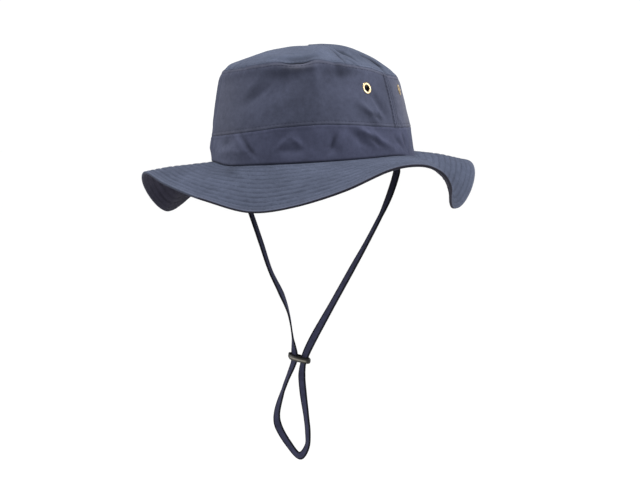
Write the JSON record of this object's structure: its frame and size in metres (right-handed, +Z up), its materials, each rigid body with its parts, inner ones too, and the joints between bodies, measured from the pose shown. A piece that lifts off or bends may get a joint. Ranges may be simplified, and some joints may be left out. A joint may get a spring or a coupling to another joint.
{
  "type": "safari hat",
  "caption": "Soft safari hat with a domed panelled crown, a wide waved quilted brim, brass eyelets and a looped chin strap with a slider.",
  "frame": {"origin": "centre of the head opening, on the seam between the crown and the brim", "axes": "+Z up along the crown, -Y towards the front of the hat, +X towards the wearer's left"},
  "size_m": [0.2688, 0.3129, 0.3602],
  "materials": {
    "crown_cloth": "matt washed cotton",
    "band_cloth": "matt washed cotton",
    "brim_cloth": "matt quilted cotton",
    "strap_tape": "matt woven tape",
    "slider": "worn dark leather, slight sheen",
    "eyelet_brass": "polished, pale gold"
  },
  "bodies": {
    "root": {"crown_top": "crown_cloth", "crown_side_front": "crown_cloth", "crown_side_back": "crown_cloth", "crown_band": "band_cloth", "brim": "brim_cloth", "eyelet_left_front": "eyelet_brass", "eyelet_left_back": "eyelet_brass", "eyelet_right_front": "eyelet_brass", "eyelet_right_back": "eyelet_brass", "chin_strap": "strap_tape", "strap_slider": "slider"}
  },
  "joints": []
}
